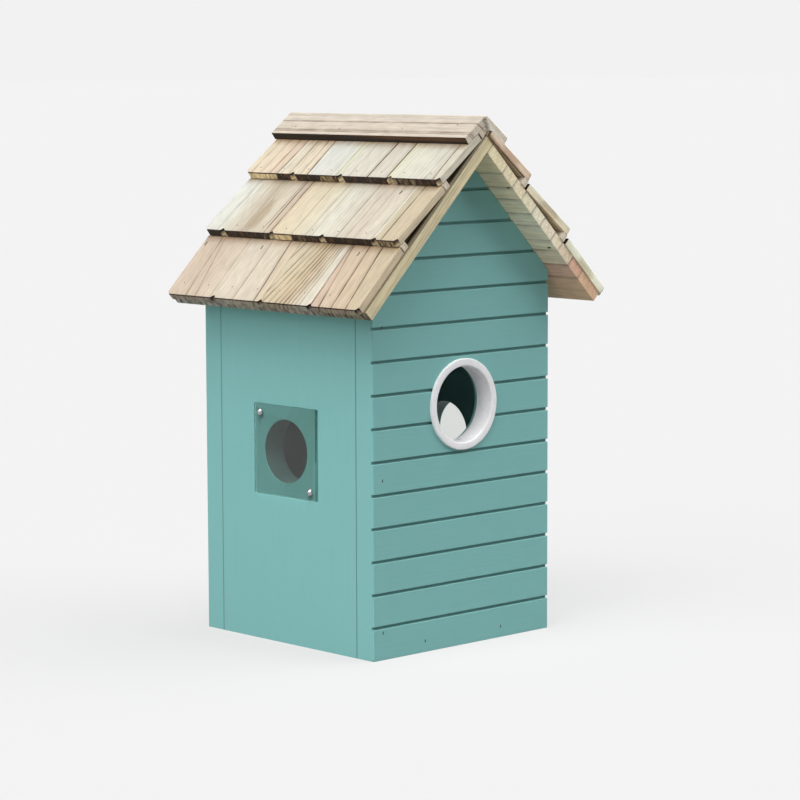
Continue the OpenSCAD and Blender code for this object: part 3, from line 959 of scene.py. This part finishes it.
def makeCourses():
    for side, (up, outward) in slopes.items():
        for level in ("top", "middle", "bottom"):
            node = side + "_" + level + "_course"
            shape = copyNode(node)
            if side == "left":
                looks = shingles[node]
            else:
                looks = [inventLook() for board in looseBoards(shape)]
                looks[-1] = inventLook(frontEnds[node])
                looks[-1].update(knot=course["frontKnot"], season=course["frontSeason"])
            for look in looks:
                look.update(darkButt=True, golden=level != "bottom", shown=course["shown"][level],
                            cornerTone=course["cornerTone"][level])
            frames = dressBoards(side + level.capitalize() + "Shingles", shape, up, outward, looks,
                                 course["edge"], shingleWood, "shingle_wood", node,
                                 buttEdge=course["buttEdge"])
            for number, (place, size) in enumerate(frames):
                if size.x < course["narrow"] * mm:
                    continue
                for share in (course["nailFromSide"], 1 - course["nailFromSide"]):
                    jog = dice.uniform(-course["nailJog"], course["nailJog"]) * mm
                    spot = Vector((size.x * share + jog, course["nailUp"][level] * mm, 0))
                    nailPlaces.append(place @ Matrix.Translation(spot))
                share = course["stapled"].get(node, {}).get(number)
                if share:
                    spot = Vector((size.x * share, course["stapleUp"] * mm, 0))
                    staplePlaces.append(place @ Matrix.Translation(spot))


makeCourses()

ridge = {
    "edge": 0.5,  # mm
    "left": {"seed": 11.4, "edgeTone": 1.0, "lean": 0.3, "strips": [
        ((235, 227, 218), 0.12, 0.08, 0.15, 0.0), ((235, 225, 215), 0.35, 0.38, 0.40, 0.0),
        ((230, 219, 207), 0.78, 0.80, 0.40, 0.0), ((232, 220, 207), 0.86, 0.875, 0.35, 0.0),
        ((236, 226, 214), 1, 1, 0, 0.0)]},
    # the right board is flat sawn, so its growth lines run level with its face
    "right": {"seed": 17.2, "edgeTone": 0.8, "edgeSide": -1, "lean": 20.0, "strips": [
        ((236, 224, 208), 2.75, 2.75, 0.60, 0.0), ((255, 253, 248), 9, 9, 0, 0.0)]},
    "strip": {"seed": 5.9, "strips": [
        ((238, 224, 206), 0.30, 0.32, 0.35, 0.0), ((240, 228, 212), 0.64, 0.62, 0.30, 0.0),
        ((236, 222, 204), 1, 1, 0, 0.0)]},
    "batten": {"seed": 3.3, "lean": 0.0, "strips": [
        ((246, 236, 222), 0.45, 0.52, 0.15, 0.0), ((242, 230, 214), 1, 1, 0, 0.0)]},
    "battenEdge": 0.3,
    "nails": {"left": ((0.10, 0.64), (0.34, 0.69), (0.655, 0.61), (0.91, 0.39)),
              "right": ((0.12, 0.5), (0.4, 0.6), (0.7, 0.5), (0.9, 0.55))},
}


def makeRidge():
    for side in slopes:
        outward = slopes[side][1]
        node = side + "_cap_board"
        place, size = dressBoards(side + "CapBoard", copyNode(node), forward, outward, [ridge[side]],
                                  ridge["edge"], shingleWood, "shingle_wood", node)[0]
        for along, across in ridge["nails"][side]:
            across = across if side == "left" else 1 - across
            spot = (size.x * across, size.y * along, 0)
            nailPlaces.append(place @ Matrix.Translation(spot))
        for level in ("lower", "upper"):
            node = side + "_" + level + "_batten"
            dressBoards(side + level.capitalize() + "Batten", copyNode(node), forward, outward,
                        [ridge["batten"]], ridge["battenEdge"], panelWood, "bare_softwood", node)
    dressBoards("ridgeStrip", copyNode("ridge_strip"), forward, slopes["left"][1], [ridge["strip"]],
                ridge["battenEdge"], panelWood, "bare_softwood", "ridge_strip")


makeRidge()

panels = {
    "edge": 0.25,  # mm
    "gap": 0.06,  # mm, half of the joint between two boards
    "leftJoints": (71.0, 142.0, 213.0),  # mm from the front edge
    # mm down the slope from the apex line, and a tint for each board from the ridge down
    "rightJoints": (39.5, 59.5, 77.0, 97.0, 114.5, 135.5, 150.5, 171.5),
    "rightTints": ((224, 220, 186), (222, 218, 188), (226, 222, 192), (228, 226, 198), (230, 228, 204),
                   (226, 224, 200), (226, 222, 196), (216, 206, 182), (206, 174, 152)),
    "rightStart": 11.6,  # where the right panel butts against the left one, with an open joint
    "eaveTint": (208, 180, 150),
    "thickness": 11.0,
    "leftTones": (0.2, 0.5),  # end grain tones of their front edges and sawn ends
    "eaveTone": 0.4,
    "seeds": {"left": 40, "right": 50, "eave": 61.3},
    "season": (1.14, 1.105, 1.105),
    "rake": {"seed": 23.8, "lean": 1.5, "topShade": 0.6, "season": (0.93, 0.92, 0.895), "strips": [
        ((232, 225, 198), 1.02, 1.20, 0.20, 0.5), ((212, 198, 158), 1.08, 1.27, 0.16, 0.5),
        ((230, 222, 194), 2, 2, 0, 0.5)]},
}


def cutOut(node, first, last, normal):  # the part of a node between two places along a normal
    shape = copyNode(node)
    for place, way in ((first, -normal), (last, normal)):
        made = bmesh.ops.bisect_plane(shape, geom=[*shape.verts, *shape.edges, *shape.faces],
                                      dist=joins["cut"] * mm, plane_co=place, plane_no=way,
                                      clear_outer=True)
        rim = [item for item in made["geom_cut"] if isinstance(item, bmesh.types.BMEdge)]
        bmesh.ops.holes_fill(shape, edges=rim, sides=0)
    bmesh.ops.recalc_face_normals(shape, faces=shape.faces)
    return shape


def splitNode(node, start, normal, spots, begin=-1000.0):  # all the boards of a panel in one shape
    whole = bmesh.new()
    ends = [spot * mm for spot in (begin, *spots, 1000.0)]
    gap = panels["gap"] * mm
    for first, last in zip(ends, ends[1:]):
        part = cutOut(node, start + normal * (first + gap), start + normal * (last - gap), normal)
        mesh = meshFrom("part", part)
        whole.from_mesh(mesh)
        bpy.data.meshes.remove(mesh)
    whole.normal_update()
    return whole


def plainLook(tint, seed, edgeTone=0.0, endTone=0.0):
    warm = tuple(c - d for c, d in zip(tint, (6, 9, 14)))
    return {"seed": seed, "edgeTone": edgeTone, "season": panels["season"], "frontLightLift": 1.0,
            "strips": [
        (tint, 0.30, 0.36, 0.08, endTone), (warm, 0.62, 0.66, 0.10, endTone),
        (tint, 1, 1, 0.26, endTone)]}


def makePanels():
    low, high = (Vector(c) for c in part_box("left_roof_panel"))
    apex = Vector((0, 0, high.z))
    up, outward = slopes["left"]
    shape = splitNode("left_roof_panel", Vector((0, low.y, 0)), -forward, panels["leftJoints"])
    seeds = panels["seeds"]
    looks = [plainLook(palette[number], seeds["left"] + number, *panels["leftTones"])
             for number in range(len(panels["leftJoints"]))]
    looks.append(panels["rake"])
    dressBoards("leftRoofPanel", shape, up, outward, looks, panels["edge"], panelWood,
                "bare_softwood", "left_roof_panel")
    up, outward = slopes["right"]
    shape = splitNode("right_roof_panel", apex, -up, panels["rightJoints"], panels["rightStart"])
    looks = [plainLook(tint, seeds["right"] + number)
             for number, tint in enumerate(panels["rightTints"])]
    dressBoards("rightRoofPanel", shape, forward, outward, looks, panels["edge"], panelWood,
                "bare_softwood", "right_roof_panel")
    dressBoards("rightEaveBoard", copyNode("right_eave_board"), forward, outward,
                [plainLook(panels["eaveTint"], seeds["eave"], panels["eaveTone"])], panels["edge"],
                panelWood, "bare_softwood", "right_eave_board")


makePanels()

floorBoard = {"edge": 0.5, "look": {"seed": 41.0, "strips": [
    ((240, 228, 204), 0.25, 0.27, 0.3, 0.3), ((234, 216, 188), 0.55, 0.5, 0.5, 0.4),
    ((238, 224, 200), 1, 1, 0, 0.4)]}}
dressBoards("floorBoard", copyNode("floor"), forward, upright, [floorBoard["look"]],
            floorBoard["edge"], panelWood, "bare_softwood", "floor")
print("nest box: roof dressed,", len(nailPlaces), "nails")

fixings = {
    "head": 0.8, "rise": 0.2, "taper": 0.7,  # mm, shingle nails, and how much narrower their tops are
    "wire": 0.55, "crown": 5.0, "askew": 8.0,  # mm, and degrees to either side, staples
    "wireEnd": 0.7,  # share of its radius by which a wire's end is rounded
    # mm across and up from the middle of the front wall's foot
    "brads": ((-108.3, 321.0), (-108.3, 174.0), (-108.3, 26.7), (-52.0, 11.0), (52.7, 11.0)),
    "bradSize": (0.7, 1.7, 0.25),
    # mm down the slope and along the box, under the right panel
    "slits": ((60.5, -150.5), (147.0, -147.5)),
    "slitSize": (0.8, 1.6),  # shares of a staple's crown and wire
}


def addWire(shape, place, length, radius):  # a straight wire with rounded ends, lying along Y
    made = bmesh.ops.create_cone(shape, cap_ends=True, segments=10, radius1=radius, radius2=radius,
                                 depth=length)
    ends = [e for v in made["verts"] for e in v.link_edges]
    rims = [e for e in set(ends) if abs(e.verts[0].co.z - e.verts[1].co.z) < radius * 0.1]
    made = bmesh.ops.bevel(shape, geom=rims, offset=radius * fixings["wireEnd"],
                           offset_type="OFFSET", segments=3, profile=0.5, affect="EDGES", material=-1)
    verts = reach(made["verts"][0])[0]
    lying = place @ Matrix.Rotation(math.radians(90), 4, "X")
    bmesh.ops.transform(shape, matrix=lying, verts=list(verts))


def makeFixings():
    shape = bmesh.new()
    head = fixings["head"] * mm
    for place in nailPlaces:
        made = bmesh.ops.create_cone(shape, cap_ends=True, segments=12, radius1=head,
                                     radius2=head * fixings["taper"], depth=2 * fixings["rise"] * mm)
        bmesh.ops.transform(shape, matrix=place, verts=made["verts"])
    bmesh.ops.recalc_face_normals(shape, faces=shape.faces)
    finishPiece("roofNails", shape, nailSteel, "screw_steel")
    shape = bmesh.new()
    crown, wire = fixings["crown"] * mm, fixings["wire"] * mm
    for place in staplePlaces:
        askew = math.radians(dice.uniform(-fixings["askew"], fixings["askew"]))
        addWire(shape, place @ Matrix.Rotation(askew, 4, "Z"), crown, wire)
    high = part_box("left_roof_panel")[1][2]
    up, outward = slopes["right"]
    long, thick = fixings["slitSize"]
    for down, along in fixings["slits"]:
        spot = Vector((0, along * mm, high)) - up * down * mm - outward * panels["thickness"] * mm
        addWire(shape, Matrix.Translation(spot), crown * long, wire * thick)
    finishPiece("staples", shape, nailSteel, "screw_steel")
    shape = bmesh.new()
    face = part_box("front_wall")[0][1]
    wide, tall, deep = fixings["bradSize"]
    for x, z in fixings["brads"]:
        made = bmesh.ops.create_uvsphere(shape, u_segments=12, v_segments=8, radius=mm)
        bmesh.ops.scale(shape, vec=(wide, deep, tall), verts=made["verts"])
        bmesh.ops.translate(shape, vec=(x * mm, face, z * mm), verts=made["verts"])
    finishPiece("frontBrads", shape, nailSteel, "screw_steel")


makeFixings()

ground = {
    "size": 60.0,
    "bounce": 0.265,  # what it gives back to the box
    "seen": 0.18,  # what it shows to the camera, besides its glow
    "glow": 0.630,
}


def makeGround():
    shape = bmesh.new()
    bmesh.ops.create_grid(shape, x_segments=1, y_segments=1, size=ground["size"])
    mesh = meshFrom("studioFloor", shape)
    material, tree, shader = newMaterial("studioFloor")
    shader.inputs["Roughness"].default_value = 1.0
    shader.inputs["Specular IOR Level"].default_value = 0.0
    seen = seenDirectly(tree)
    white = addNode(tree, "ShaderNodeRGB")
    white.outputs[0].default_value = (1, 1, 1, 1)
    shade = remap(tree, seen, 0.0, 1.0, ground["bounce"], ground["seen"])
    feed(tree, shader.inputs["Base Color"], shadeColour(tree, white.outputs[0], shade))
    feed(tree, shader.inputs["Emission Color"],
         shadeColour(tree, white.outputs[0], times(tree, seen, ground["glow"])))
    shader.inputs["Emission Strength"].default_value = 1.0
    mesh.materials.append(material)
    addObject("studioFloor", mesh)


def lightStudio():
    world = bpy.data.worlds.new("studio")
    scene.world = world
    world.use_nodes = True
    tree = world.node_tree
    tree.nodes.clear()
    pick = addNode(tree, "ShaderNodeMixShader")
    tree.links.new(seenDirectly(tree), pick.inputs["Fac"])
    for number, share in enumerate(("fill", "seen"), 1):
        sky = addNode(tree, "ShaderNodeBackground")
        sky.inputs["Color"].default_value = (1, 1, 1, 1)
        sky.inputs["Strength"].default_value = backdrop[share]
        tree.links.new(sky.outputs[0], pick.inputs[number])
    out = addNode(tree, "ShaderNodeOutputWorld")
    tree.links.new(pick.outputs[0], out.inputs["Surface"])
    for name, rig in light.items():
        addSun(name + "Lamp", rig)


makeGround()
lightStudio()
placeCamera()
scene.view_settings.view_transform = "Standard"
print("nest box: studio ready")
